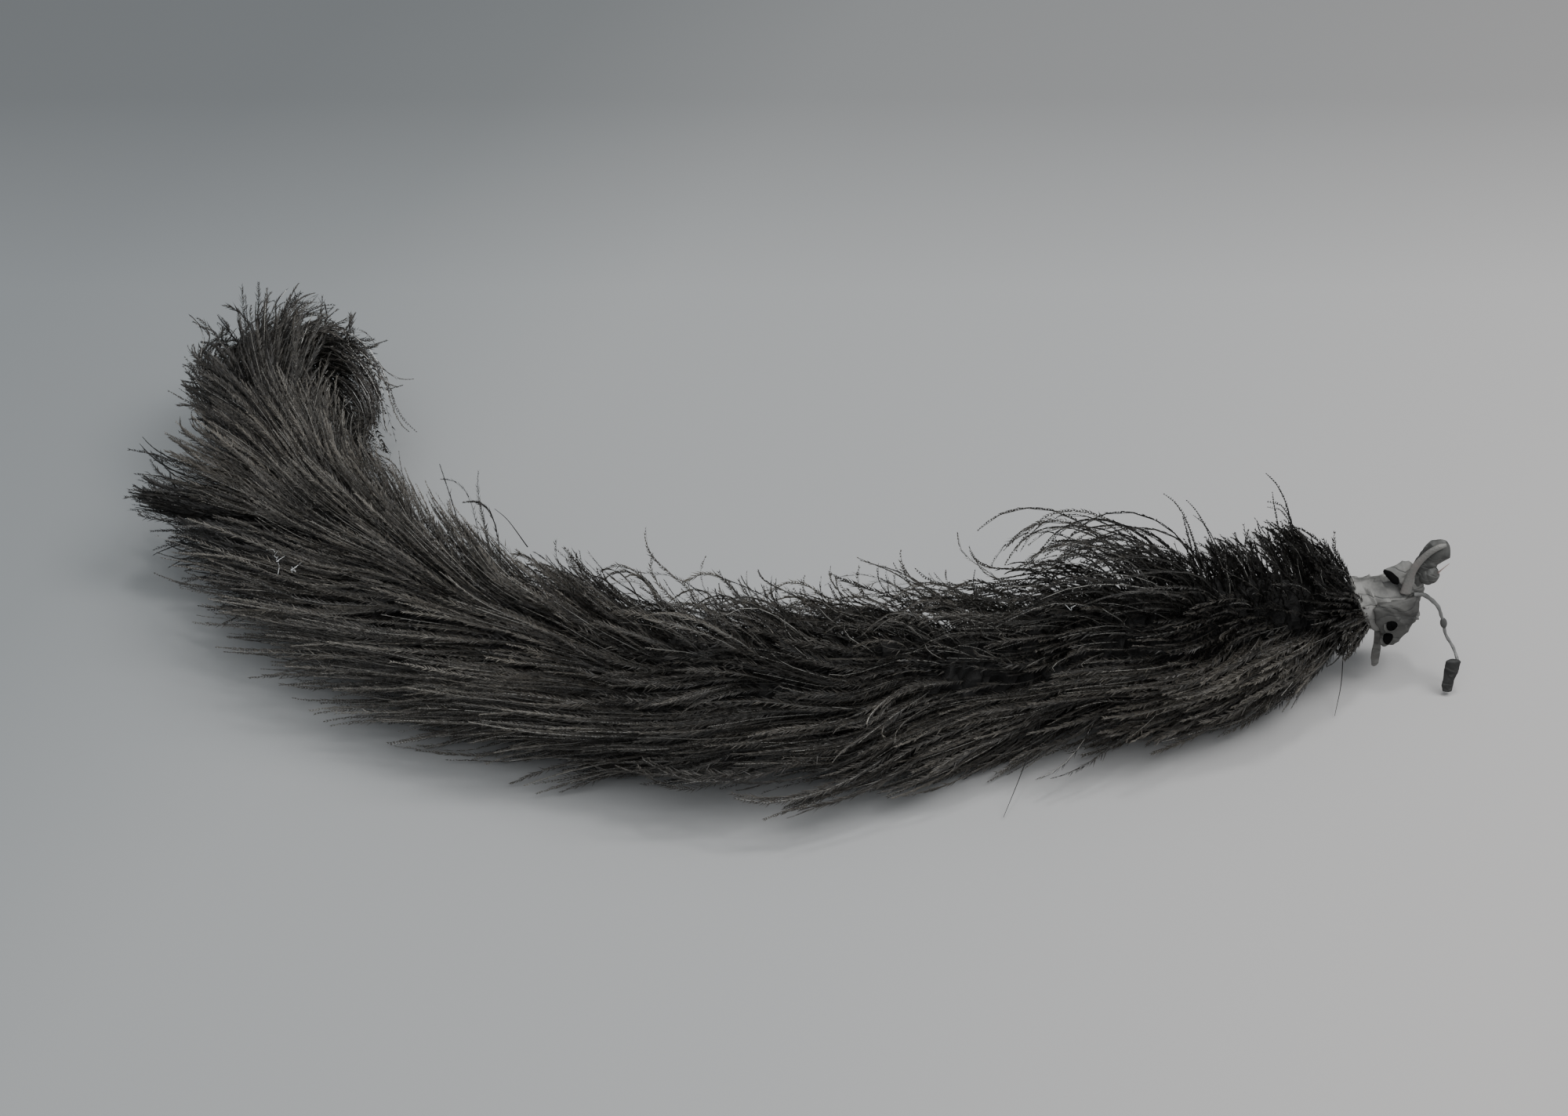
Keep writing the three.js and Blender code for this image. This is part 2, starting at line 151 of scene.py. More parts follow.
def grow(share, angle, length, layer, lift, stiff, curl, flare, wave, ease, seed):
    """Paths of barbs, STEPS + 1 points each. A barb leaves the shaft at the angle lift, climbs to its layer
    of the vanes and then lies along them: each step keeps the share stiff of the last way and takes the
    rest from the flow, which is the spine's way plus the climb and two eddies. ease is the share of the
    length over which the climb dies away. From LATE on, curl turns a barb up and back over itself, and
    flare turns it outwards. Where a barb is below its resting height, most of the gap is made up."""
    k = np.round(share * (STATIONS - 1)).astype(int)
    out = outward(k, angle)
    way = np.cos(lift)[:, None] * along[k] + np.sin(lift)[:, None] * out
    p = spine[k] + out * np.minimum(ROOT_OUT, ROOT_REACH * reach_at(k, angle))[:, None]
    step = (length / STEPS)[:, None]
    rest = REST + REST_SPREAD * np.random.default_rng(seed).random((len(share), 1))
    path = [p]
    for i in range(STEPS):
        ahead = np.clip(k[:, None] + np.arange(LOOK_AHEAD), 0, STATIONS - 1)
        nearest = np.argmin(np.linalg.norm(spine[ahead] - p[:, None], axis=-1), axis=1)
        k = ahead[np.arange(len(k)), nearest]
        out = p - spine[k]
        out = out - along[k] * dot(out, along[k])
        far = np.linalg.norm(out, axis=-1)
        out = unit(out)
        turn = np.arctan2(dot(out, inward[k])[:, 0], dot(out, upward[k])[:, 0])
        climb = np.clip((layer * reach_at(k, turn) - far) / (ease * length), *CLIMB)[:, None]
        flow = along[k] + climb * out + wave * eddy(p, *WIDE_EDDY) + 0.5 * wave * eddy(p, *SMALL_EDDY)
        way = unit(stiff * way + (1 - stiff) * unit(flow))
        late = max(0.0, (i / STEPS - LATE) / (1 - LATE))
        way = unit(way + curl[:, None] * late * (0.7 * out - 0.5 * along[k] * late) + flare * late * out)
        p = p + way * step
        p[:, 2:] = np.where(p[:, 2:] < rest, p[:, 2:] + 0.7 * (rest - p[:, 2:]), p[:, 2:])
        p[:, 2:] = np.maximum(p[:, 2:], LOWEST_PATH)
        path.append(p)
    return np.stack(path, axis=1)


def gather(paths, share, angle, groups, pull, seed):
    """Draws barbs together into locks: each belongs to the guide barb nearest to it in share and angle,
    and moves towards that guide by pull times the square of how far along it is."""
    spots = np.stack([share * SPINE_WEIGHT, angle], axis=-1)
    draw = np.random.default_rng(seed + 1)
    guides = draw.choice(len(share), groups, replace=False)
    own = guides[np.argmin(np.linalg.norm(spots[:, None] - spots[guides][None], axis=-1), axis=1)]
    t = np.linspace(0, 1, paths.shape[1])[None, :, None] ** 2
    strength = pull * (0.4 + 0.6 * draw.random(len(share)))[:, None, None]
    return paths + (paths[own] - paths) * t * strength


def sample(paths, t):
    """Points and ways along paths at the shares t, by the cubic between neighbours with slopes half
    the chord round each point."""
    slope = np.gradient(paths, axis=1)
    x = t * (paths.shape[1] - 1)
    i = np.minimum(x.astype(int), paths.shape[1] - 2)
    u = (x - i)[None, :, None]
    a, b, ma, mb = paths[:, i], paths[:, i + 1], slope[:, i], slope[:, i + 1]
    p = (2 * u**3 - 3 * u**2 + 1) * a + (u**3 - 2 * u**2 + u) * ma
    p = p + (3 * u**2 - 2 * u**3) * b + (u**3 - u**2) * mb
    d = (6 * u**2 - 6 * u) * (a - b) + (3 * u**2 - 4 * u + 1) * ma + (3 * u**2 - 2 * u) * mb
    return p, unit(d)


# ---- the mesh of a barb ----

QUILL_SIDES = 3
QUILL_MARK = 2.0  # added to a quill's tint, to tell it from the down
SWEEP = 0.5  # radians between the down and its quill near the root, and a third less at the tip
ROLL = 0.5  # how far the flat of a barb is turned about it: the spread of a normal draw, in radians


def across(paths, ways, seed):
    """The flat of each barb at each point: square to its way and to the way out from the spine, turned
    about its way by ROLL and by a slow twist along it."""
    draw = np.random.default_rng(seed)
    chord = unit(paths[:, -1:] - paths[:, :1])
    gaps = np.linalg.norm(paths[:, ::STRIDE, None] - spine[None, None, ::STRIDE], axis=-1)
    near = np.argmin(gaps, axis=-1) * STRIDE
    out = np.repeat(unit(paths[:, ::STRIDE] - spine[near] + 0.01 * chord), STRIDE, axis=1)
    t = np.linspace(0, out.shape[1] - 1, ways.shape[1]).astype(int)
    flat = unit(np.cross(ways, out[:, t]))
    up = np.cross(flat, ways)
    roll = ROLL * draw.normal(size=(len(paths), 1))
    twist = roll + np.linspace(0, 1, ways.shape[1])[None] * draw.normal(size=(len(paths), 1))
    return np.cos(twist)[..., None] * flat + np.sin(twist)[..., None] * up


def root_shade_tip_light(t):
    """What a barb's tint is multiplied by at the share t along it: 0.3 at its root, and 1.1 at its tip, as
    painted shade at the root and painted light at the tip.
    """
    return 0.3 + 0.8 * t**1.2


class Strands:
    """Triangles gathered for one piece, with where each corner lies on its own barb."""

    def __init__(self):
        self.points, self.faces, self.maps, self.tints, self.count = [], [], [], [], 0

    def add(self, points, faces, places, tint):
        """points (n, 3), faces (m, 3), places (n, 2) from 0 to 1 on the barb's cell, tint (n,)."""
        self.faces.append(faces + self.count)
        self.points.append(points)
        self.maps.append(places)
        self.tints.append(tint)
        self.count += len(points)


def quills(strands, paths, cell, tint, thick, rings):
    """The fine quill of each barb: rings of three points round its path, thinning to a quarter at its tip."""
    t = np.linspace(0, 1, rings + 1)
    p, way = sample(paths, t)
    side = unit(np.cross(way, [0.31, 0.17, 0.93]))
    up = np.cross(way, side)
    turn = np.arange(QUILL_SIDES) * 2 * math.pi / QUILL_SIDES
    r = thick[:, None, None, None] * (1 - 0.75 * t)[None, :, None, None]
    ring = np.cos(turn)[:, None] * side[:, :, None] + np.sin(turn)[:, None] * up[:, :, None]
    ring = p[:, :, None] + r * ring
    count = len(paths)
    i, j = np.meshgrid(np.arange(rings), np.arange(QUILL_SIDES), indexing="ij")
    a, b = i * QUILL_SIDES + j, i * QUILL_SIDES + (j + 1) % QUILL_SIDES
    quad = np.stack([a, b, a + QUILL_SIDES, b, b + QUILL_SIDES, a + QUILL_SIDES], axis=-1).reshape(-1, 3)
    faces = (quad[None] + (np.arange(count) * (rings + 1) * QUILL_SIDES)[:, None, None]).reshape(-1, 3)
    u = np.broadcast_to(t[None, :, None], (count, rings + 1, QUILL_SIDES))
    v = np.broadcast_to(0.05 + 0.25 * np.arange(QUILL_SIDES) / QUILL_SIDES, u.shape)
    c = cell[:, None, None]
    place = np.stack([c[..., 0] + c[..., 2] * u, c[..., 1] + c[..., 2] * v], axis=-1)
    # the tint darkens towards the root as painted shade and pales towards the tip as painted light
    shade = tint[:, None, None] * root_shade_tip_light(u)
    strands.add(ring.reshape(-1, 3), faces, place.reshape(-1, 2), shade.reshape(-1) + QUILL_MARK)


def barbules(strands, paths, cell, tint, reach, wide, gap, start, seed):
    """The down of each barb: from start to its tip, every gap millimetres, a thin triangle on either side
    of the quill, swept forward, longest in the barb's middle and short at its tip."""
    draw = np.random.default_rng(seed)
    mean = np.mean(np.linalg.norm(np.diff(paths, axis=1), axis=-1)) * STEPS
    count = max(6, int(mean * (1 - start) / gap))
    t = start + (1 - start) * (np.arange(count) + 0.5) / count
    p, way = sample(paths, t)
    flat = across(paths, way, seed + 1)
    lift = np.cross(flat, way)
    shape = (len(paths), count, 2, 1)
    side = np.array([-1.0, 1.0])[None, None, :, None]
    swing = SWEEP * (1 - 0.35 * t)[None, :, None, None] + 0.16 * draw.normal(size=shape)
    tilt = 0.3 * draw.normal(size=shape)
    out = side * flat[:, :, None] * np.cos(tilt) + lift[:, :, None] * np.sin(tilt)
    aim = np.cos(swing) * way[:, :, None] + np.sin(swing) * out
    full = np.clip((t - start) / 0.12, 0.35, 1) * np.clip((1 - t) / 0.16, 0.28, 1) ** 0.6
    size = reach[:, None, None, None] * full[None, :, None, None] * (0.7 + 0.55 * draw.random(shape))
    base = p[:, :, None] + np.zeros(shape)
    tip = base + aim * size
    half = way[:, :, None] - aim * dot(way[:, :, None], aim) + 0.35 * side * lift[:, :, None]
    half = 0.5 * wide * unit(half)
    mid = base + aim * size * 0.12
    corners = np.stack([mid - half, mid + half, tip], axis=-2)
    n = corners.shape[0] * corners.shape[1] * 2
    u0 = np.broadcast_to(t[None, :, None], (len(paths), count, 2))
    u = np.stack([u0 - 0.3 / count, u0 + 0.3 / count, u0], axis=-1)
    v = np.broadcast_to(np.array([[0.4, 0.4, 0.66], [0.7, 0.7, 0.96]]), u.shape)
    c = cell[:, None, None, None]
    place = np.stack([c[..., 0] + c[..., 2] * u, c[..., 1] + c[..., 2] * v], axis=-1)
    # the tint darkens towards the root as painted shade and pales towards the tip as painted light
    lit = tint[:, None, None, None] * root_shade_tip_light(t)[None, :, None, None]
    shade = np.clip(lit + 0.12 * draw.normal(size=shape), 0, 1) + np.zeros(3)
    faces = np.arange(3 * n).reshape(-1, 3)
    strands.add(corners.reshape(-1, 3), faces, place.reshape(-1, 2), shade.reshape(-1))


def cells(count):
    """A square of the map for each of count barbs: its corner and its side."""
    row = math.ceil(math.sqrt(count))
    i = np.arange(count)
    return np.stack([(i % row) / row, (i // row) / row, np.full(count, 0.94 / row)], axis=-1)


# ---- meshes and finishes ----


def scene_object(name, data):
    """A new object in the scene, for a mesh, a light or a camera."""
    made = bpy.data.objects.new(name, data)
    bpy.context.scene.collection.objects.link(made)
    return made


def mesh_object(name, points, faces, material, smooth=False):
    """A mesh object at the origin from points in the maker's millimetres and faces of three or four."""
    mesh = bpy.data.meshes.new(name)
    points = (np.asarray(points, float) - MIDDLE) * MM
    mesh.vertices.add(len(points))
    mesh.vertices.foreach_set("co", points.astype(np.float32).ravel())
    mesh.loops.add(faces.size)
    mesh.loops.foreach_set("vertex_index", faces.astype(np.int32).ravel())
    mesh.polygons.add(len(faces))
    mesh.polygons.foreach_set("loop_start", (np.arange(len(faces)) * faces.shape[1]).astype(np.int32))
    mesh.polygons.foreach_set("use_smooth", np.full(len(faces), smooth))
    mesh.update(calc_edges=True)
    mesh.validate()
    mesh.materials.append(material)
    return scene_object(name, mesh)


def mesh_piece(name, points, faces, material, smooth=False):
    """A mesh object that is a piece of the plume, and rides on its one body."""
    piece = mesh_object(name, points, faces, material, smooth)
    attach(piece, "root")
    return piece


def part(name, shape, finish, node):
    """A smooth piece that stands in for a node of the solid part."""
    piece = mesh_piece(name, *shape, finish, True)
    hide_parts(node)


def strand_piece(name, strands, material):
    """The gathered barbs as one mesh, with their map and their tint."""
    points, faces = np.concatenate(strands.points), np.concatenate(strands.faces)
    points[:, 2] = np.maximum(points[:, 2], LOWEST_POINT)
    piece = mesh_piece(name, points, faces, material)
    layer = piece.data.uv_layers.new(name="OFBake")
    layer.data.foreach_set("uv", np.concatenate(strands.maps)[faces.ravel()].astype(np.float32).ravel())
    tint = piece.data.attributes.new("tint", "FLOAT", "POINT")
    tint.data.foreach_set("value", np.concatenate(strands.tints).astype(np.float32))
    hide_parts("feather")


class Wire:
    """One output socket in a material, with arithmetic that adds the Math nodes it needs."""

    def __init__(self, finish, socket):
        self.finish, self.socket = finish, socket

    def _math(self, operation, *values):
        return self.finish.node("ShaderNodeMath", {"operation": operation}, list(values))

    def __add__(self, other):
        return self._math("ADD", self, other)

    def __radd__(self, other):
        return self._math("ADD", other, self)

    def __sub__(self, other):
        return self._math("SUBTRACT", self, other)

    def __rsub__(self, other):
        return self._math("SUBTRACT", other, self)

    def __mul__(self, other):
        return self._math("MULTIPLY", self, other)

    def __rmul__(self, other):
        return self._math("MULTIPLY", other, self)

    def above(self, level):
        """1 where the value is more than level, and 0 elsewhere."""
        return self._math("GREATER_THAN", self, level)

    def clamp(self):
        """The value, kept between 0 and 1."""
        return self._math("MINIMUM", self._math("MAXIMUM", self, 0.0), 1.0)

    def absolute(self):
        """The value without its sign."""
        return self._math("ABSOLUTE", self)


class Finish:
    """A material in the making, whose nodes all come from one method."""

    def __init__(self, name):
        self.material = bpy.data.materials.new(name)
        self.material.use_nodes = True
        self.tree = self.material.node_tree
        self.tree.nodes.clear()

    def node(self, kind, settings=None, sockets=(), output=0):
        """A node of a kind, with its settings, then the values or wires of its sockets by place or name."""
        made = self.tree.nodes.new(kind)
        for key, value in (settings or {}).items():
            if key == "stops":
                ramp = made.color_ramp.elements
                while len(ramp) < len(value):
                    ramp.new(0.5)
                for element, (place, colour) in zip(ramp, value):
                    element.position, element.color = place, (*colour, 1)
            else:
                setattr(made, key, value)
        pairs = sockets.items() if isinstance(sockets, dict) else enumerate(sockets)
        for key, value in pairs:
            if isinstance(value, Wire):
                self.tree.links.new(value.socket, made.inputs[key])
            elif isinstance(value, tuple) and len(value) == 3 and made.inputs[key].type == "RGBA":
                made.inputs[key].default_value = (*value, 1)
            else:
                made.inputs[key].default_value = value
        return Wire(self, made.outputs[output]) if len(made.outputs) else made

    def place(self):
        """Where a point lies on the part, in metres."""
        return self.node("ShaderNodeTexCoord", output="Object")

    def noise(self, scale, detail=3.0, rough=0.5, stretch=None):
        """Noise over the part, with its pattern squeezed along the axes by stretch."""
        where = self.place()
        if stretch:
            where = self.node("ShaderNodeVectorMath", {"operation": "MULTIPLY"}, [where, stretch])
        sockets = {"Vector": where, "Scale": scale, "Detail": detail, "Roughness": rough}
        return self.node("ShaderNodeTexNoise", {}, sockets)

    def ramp(self, value, stops):
        """A colour for each value, from stops of a value and a colour."""
        return self.node("ShaderNodeValToRGB", {"stops": stops}, [value])

    def mix(self, factor, a, b):
        """The colour a where factor is 0, and b where it is 1."""
        return self.node("ShaderNodeMix", {"data_type": "RGBA"}, {0: factor, 6: a, 7: b}, output=2)

    def bump(self, height, distance):
        """A normal for relief: height, times distance in metres."""
        return self.node("ShaderNodeBump", {}, {"Height": height, "Distance": distance, "Strength": 1.0})

    def surface(self, **sockets):
        """The Principled shader, with an underscore for each blank in a socket's name."""
        named = {key.replace("_", " "): value for key, value in sockets.items()}
        shader = self.node("ShaderNodeBsdfPrincipled", {}, named)
        self.node("ShaderNodeOutputMaterial", {}, {"Surface": shader})
        return self.material


def barb_finish():
    """Dyed barbs gone rusty with age: the tint attribute holds each barb's tint from 0 to 1, darker on deeper
    barbs and near the roots as painted shade, plus QUILL_MARK on the quills, which are glossier than the
    down and painted paler as highlights. Patches are browner."""
    f = Finish("dyed_barbs")
    tint = f.node("ShaderNodeAttribute", {"attribute_name": "tint"}, output="Fac")
    quill = tint.above(1.5)
    shade = tint - quill * QUILL_MARK
    blacks = [(0.0, (0.003, 0.003, 0.003)), (0.5, (0.020, 0.019, 0.017)), (1.0, (0.125, 0.118, 0.103))]
    black = f.ramp(shade, blacks)
    brown = f.mix(shade, (0.005, 0.004, 0.003), (0.110, 0.092, 0.070))
    down = f.mix(f.noise(38, 2.0).clamp() * 0.8, black, brown)
    # the quills' colour: paler than the down as painted highlights, brightest on the glint quills
    bare = f.mix(shade, (0.008, 0.008, 0.007), (0.46, 0.45, 0.42))
    return f.surface(
        Base_Color=f.mix(quill, down, bare), Roughness=0.6 - quill * 0.28, Specular_IOR_Level=0.45
    )


def shade_and_hair_finish():
    """Painted shade for the dark depth between the barbs, in streaks along it; the stray hairs take this dark
    colour too.
    """
    f = Finish("depth_shade_and_hairs")
    streak = f.noise(900, 4.0, 0.6, stretch=(0.4, 0.4, 1.6))
    return f.surface(
        Base_Color=f.mix(streak, (0.004, 0.004, 0.004), (0.014, 0.013, 0.012)),
        Roughness=0.9,
        Normal=f.bump(streak, 0.0006),
    )


def tape_finish(name, pale, dark, crease):
    """Old cotton tape: soiled in patches, with a few fine lines along its creases, where a stretched noise
    passes its middle."""
    f = Finish(name)
    stain = f.noise(170, 4.0, 0.6)
    crease_at = f.noise(230, 2.0, 0.5, stretch=(0.5, 1.0, 1.7))
    line = (1 - ((crease_at - 0.5) * 30.0).absolute()).clamp()
    base = f.ramp(stain, [(0.36, dark), (0.56, pale)])
    return f.surface(
        Base_Color=f.mix(line * 0.5, base, crease),
        Roughness=0.75,
        Normal=f.bump(f.noise(1100, 3.0) - line * 0.6, 0.00012),
    )


def wire_finish(name, base, rust):
    """Wire, bare or covered with thread: dull, with rusty or dark patches."""
    f = Finish(name)
    patch = f.ramp(f.noise(300, 3.0), [(0.45, base), (0.7, rust)])
    return f.surface(Base_Color=patch, Roughness=0.5, Normal=f.bump(f.noise(2500, 2.0), 0.0001))


BARBS = barb_finish()
SHADE_AND_HAIR = shade_and_hair_finish()
TAPE = tape_finish("grey_tape", (0.185, 0.182, 0.172), (0.085, 0.084, 0.079), (0.03, 0.03, 0.029))
# the grey tape painted darker, as shade on the turned-down end and its torn rims
SHADED_FLAP_TAPE = tape_finish("shaded_tape", (0.062, 0.061, 0.057), (0.026, 0.025, 0.024), (0.012, 0.012, 0.012))
SOILED_TAPE = tape_finish("soiled_tape", (0.15, 0.147, 0.138), (0.06, 0.058, 0.054), (0.015, 0.015, 0.015))
DARK_TAPE = tape_finish("black_tape", (0.06, 0.06, 0.056), (0.018, 0.018, 0.018), (0.13, 0.13, 0.125))
FOLDED_TAPE = tape_finish("folded_tape", (0.16, 0.157, 0.147), (0.10, 0.10, 0.095), (0.02, 0.02, 0.02))
BLACK_SCRAP = tape_finish("black_scrap", (0.022, 0.022, 0.021), (0.008, 0.008, 0.008), (0.05, 0.05, 0.048))
BARE_WIRE = wire_finish("bare_wire", (0.12, 0.118, 0.11), (0.15, 0.13, 0.122))
COVERED_WIRE = wire_finish("covered_wire", (0.13, 0.13, 0.126), (0.05, 0.05, 0.048))
KNOT = wire_finish("knot", (0.05, 0.05, 0.048), (0.02, 0.02, 0.02))
THREAD = wire_finish("thread", (0.30, 0.22, 0.20), (0.22, 0.17, 0.16))
# black for the insides of holes and gaps: painted shade
HOLLOW_SHADE = Finish("painted_hollow_shade").surface(Base_Color=(0.004, 0.004, 0.004), Roughness=1.0, Specular_IOR_Level=0.0)
LINT = Finish("white_lint").surface(Base_Color=(0.5, 0.51, 0.51), Roughness=0.9)

# ---- tubes ----

FACING = np.array([0.15, -0.64, 0.77])  # the way that flat pieces face
CURVE_POINTS = 240


def closed_tube(rings, first, last):
    """Points and triangles of a tube from rings (n, sides, 3), each turning right-handed about the way on,
    closed by fans to the points first and last."""
    steps, sides = len(rings) - 1, rings.shape[1]
    i, j = np.meshgrid(np.arange(steps), np.arange(sides), indexing="ij")
    a, b = i * sides + j, i * sides + (j + 1) % sides
    walls = np.stack([a, b, a + sides, b, b + sides, a + sides], axis=-1).reshape(-1, 3)
    j = np.arange(sides)
    foot, top = (steps + 1) * sides, (steps + 1) * sides + 1
    feet = np.stack([np.full(sides, foot), (j + 1) % sides, j], axis=-1)
    tops = np.stack([np.full(sides, top), steps * sides + j, steps * sides + (j + 1) % sides], axis=-1)
    return np.vstack([rings.reshape(-1, 3), first, last]), np.vstack([walls, feet, tops])


def spine_tube(shares, sides, steps, radius):
    """A closed tube along the spine: rings of radius(station, angle)."""
    k = np.round(np.linspace(*shares, steps + 1) * (STATIONS - 1)).astype(int)
    kk, aa = np.meshgrid(k, np.arange(sides) * 2 * math.pi / sides, indexing="ij")
    return closed_tube(spine[kk] + outward(kk, aa) * radius(kk, aa)[..., None], spine[k[0]], spine[k[-1]])


def folds(p, count, width, seed):
    """How sharply creased a crumpled sheet is at points p: each crease is a plane at random, and falls
    away from 1 or -1 by e over every width of distance from it."""
    draw = np.random.default_rng(seed)
    ways = unit(draw.normal(size=(count, 3)))
    centre = p.reshape(-1, 3).mean(axis=0)
    far = (p - centre) @ ways.T - draw.uniform(-6, 6, count)
    return np.sum(np.exp(-np.abs(far) / width) * np.where(draw.random(count) < 0.5, 1.0, -1.0), axis=-1)


def swept(points, shares, size, flat=1.0, slant=0.0, crumple=None):
    """A closed tube along the smooth curve through points. Ring i lies at shares[i] of the curve and has the
    radii size[i]; flat is its thickness towards FACING as a share of its width. slant leans each ring
    along the way by that much of its height. crumple is a depth and then a count, a width and a seed for
    folds, and moves each point out by depth times its fold."""
    fine = smooth_curve(points, CURVE_POINTS)
    where = np.linspace(0, 1, CURVE_POINTS)

    def read(line):
        return np.stack([np.interp(shares, where, line[:, i]) for i in range(3)], axis=-1)

    path, way = read(fine), unit(read(unit(np.gradient(fine, axis=0))))
    side = unit(np.cross(way, FACING))
    thick = np.cross(way, side)
    turn = turns(size.shape[1])[0]
    out = np.cos(turn)[None, :, None] * side[:, None] + flat * np.sin(turn)[None, :, None] * thick[:, None]
    rings = path[:, None] + size[..., None] * out
    if crumple:
        depth, *creases = crumple
        rings = rings + unit(out) * (depth * folds(rings, *creases))[..., None]
    rings = rings + slant * way[:, None] * (rings - path[:, None])[..., 2:]
    return closed_tube(rings, rings[0].mean(axis=0), rings[-1].mean(axis=0))


def turns(sides):
    """The turn round a tube of each of its sides, as a row."""
    return np.arange(sides)[None] * 2 * math.pi / sides


def round_rings(radii, sides):
    """Round rings: each radius, the same on every side."""
    return np.repeat(radii[:, None], sides, axis=1)


def wavy_rings(radii, sides, *waves):
    """Rings that aren't round: each radius times 1 plus the sum of the waves, of which each is a size, a
    count and a phase and gives size times the cosine of count turns and the phase."""
    turn = turns(sides)
    return radii[:, None] * sum((size * np.cos(count * turn + phase) for size, count, phase in waves), 1.0)


def joined(shapes):
    """Several shapes of points and faces as one."""
    starts = np.cumsum([0] + [len(points) for points, _ in shapes])
    faces = [own + start for (_, own), start in zip(shapes, starts)]
    return np.vstack([points for points, _ in shapes]), np.vstack(faces)


# ---- the barbs ----

GLINTS = 0.16  # the share of the quills painted bright as glint highlights
INNER = {"curl": 0.0, "lock": 7, "tone": (0, 0.3)}  # what the inner barbs have in common; their low tone is painted shade in the depth of the vanes


@dataclass
class Flock:
    """A set of barbs grown alike: count of them, with roots between two shares of the spine and two angles
    in degrees round it. long is their length, layer how far out in the vanes they lie, lift the angle they
    leave the shaft at, each a (low, high) pair. pull draws them into about count / lock locks, and none
    where lock is 0. tone is their range of tint, down the length of their down, thick their quills' radius.
    The others are as grow takes them."""

    count: int
    shares: tuple
    angles: tuple
    long: tuple
    layer: tuple
    lift: tuple
    stiff: float = 0.88
    curl: float = 0.2
    flare: float = 0.0
    wave: float = 0.25
    lock: int = 4
    pull: float = 0.5
    tone: tuple = (0.1, 0.9)
    down: float = 1.8
    ease: float = 0.55
    thick: float = 0.11

    def grown(self, seed):
        """The barbs' paths, and their tints and down lengths. Outer barbs are paler, and deeper ones darker,
        as painted light and shade.
        """
        draw = np.random.default_rng(seed)

        def between(pair):
            return pair[0] + (pair[1] - pair[0]) * draw.random(self.count)

        spaced = draw.permutation((np.arange(self.count) + draw.random(self.count)) / self.count)
        share = self.shares[0] + (self.shares[1] - self.shares[0]) * spaced
        angle = np.radians(between(self.angles))
        layer = between(self.layer)
        length, lift = between(self.long), np.radians(between(self.lift))
        curl = self.curl * draw.normal(size=self.count)
        bends = (self.stiff, curl, self.flare, self.wave, self.ease)
        paths = grow(share, angle, length, layer, lift, *bends, seed)
        if self.lock:
            paths = gather(paths, share, angle, max(3, self.count // self.lock), self.pull, seed)
        # deeper barbs get a darker tint: painted shade
        depth = (layer - self.layer[0]) / (self.layer[1] - self.layer[0])
        mixed = 0.45 * depth + 0.55 * draw.beta(2, 2, self.count)
        tint = self.tone[0] + (self.tone[1] - self.tone[0]) * mixed
        return paths, tint, self.down * (0.75 + 0.5 * draw.random(self.count))


def plume(name, seed, flocks, wide=0.24, gap=0.46, start=0.2, rings=9):
    """One piece of barbs, grown flock by flock: their down is wide millimetres across at its foot and grows
    every gap millimetres from the share start on, and their quills have rings rings."""
    strands = Strands()
    cell = cells(sum(flock.count for flock in flocks))
    for i, flock in enumerate(flocks):
        own = seed + 10 * i
        paths, tint, down = flock.grown(own)
        here, cell = cell[: flock.count], cell[flock.count :]
        draw = np.random.default_rng(own + 5)
        # glint quills get a high tint, painted highlights; the others 0.6 of their barb's tint
        quill_tint_with_glints = np.where(draw.random(flock.count) < GLINTS, 0.7 + 0.3 * draw.random(flock.count), 0.6 * tint)
        quills(strands, paths, here, quill_tint_with_glints, flock.thick * (0.75 + 0.5 * draw.random(flock.count)), rings)
        barbules(strands, paths, here, tint, down, wide, gap, start, own + 6)
    strand_piece(name, strands, BARBS)


# a dark core inside the vanes: painted shade for the depth between the barbs
SHADE_CORE_SIDES, SHADE_CORE_STEPS = 28, 220
shade_core = mesh_piece("vane_shade_core", *spine_tube(SHADE_CORE_SHARES, SHADE_CORE_SIDES, SHADE_CORE_STEPS, shade_core_reach), SHADE_AND_HAIR)
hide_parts("feather")

plume("barbs_crest", 100, [
    # the ruff that stands up at the tape
    Flock(120, (0.030, 0.055), (-60, 70), (12, 18), (1.0, 1.5), (56, 82), stiff=0.94, curl=0.4,
        tone=(0, 0.2), down=1.4),
    # its short back
    Flock(50, (0.030, 0.045), (70, 200), (8, 13), (0.8, 1.1), (35, 60), stiff=0.86, wave=0.2, tone=(0, 0.3),
        down=1.4),
    # the upright crest
    Flock(340, (0.04, 0.15), (-50, 70), (13, 20), (0.85, 1.15), (78, 104), stiff=0.92, curl=0.3, flare=0.1,
        wave=0.3, pull=0.6, tone=(0, 0.22), down=1.3),
    # tall single barbs above the crest
    Flock(22, (0.07, 0.15), (-30, 30), (20, 32), (1.3, 1.7), (84, 100), stiff=0.95, wave=0.2, lock=0,
        tone=(0, 0.2), down=0.6, ease=0.3, thick=0.17),
    # long barbs that stand up, then droop towards the tip
    Flock(46, (0.135, 0.185), (-28, 28), (34, 46), (0.7, 0.95), (90, 112), flare=-0.35, lock=5, pull=0.3,
        tone=(0, 0.4), down=1.0, ease=0.3, thick=0.17),
    # shorter ones among them
    Flock(80, (0.13, 0.21), (-30, 40), (18, 30), (0.7, 1.0), (80, 108), curl=0.4, flare=-0.2, wave=0.35,
        pull=0.4, tone=(0, 0.4), down=1.2, ease=0.3, thick=0.15),
    # the tangle behind them
    Flock(50, (0.17, 0.25), (-28, 60), (24, 36), (0.5, 0.85), (75, 100), stiff=0.86, curl=0.7, wave=0.3,
        pull=0.3, tone=(0, 0.5), down=1.1, ease=0.3, thick=0.16),
], wide=0.3)
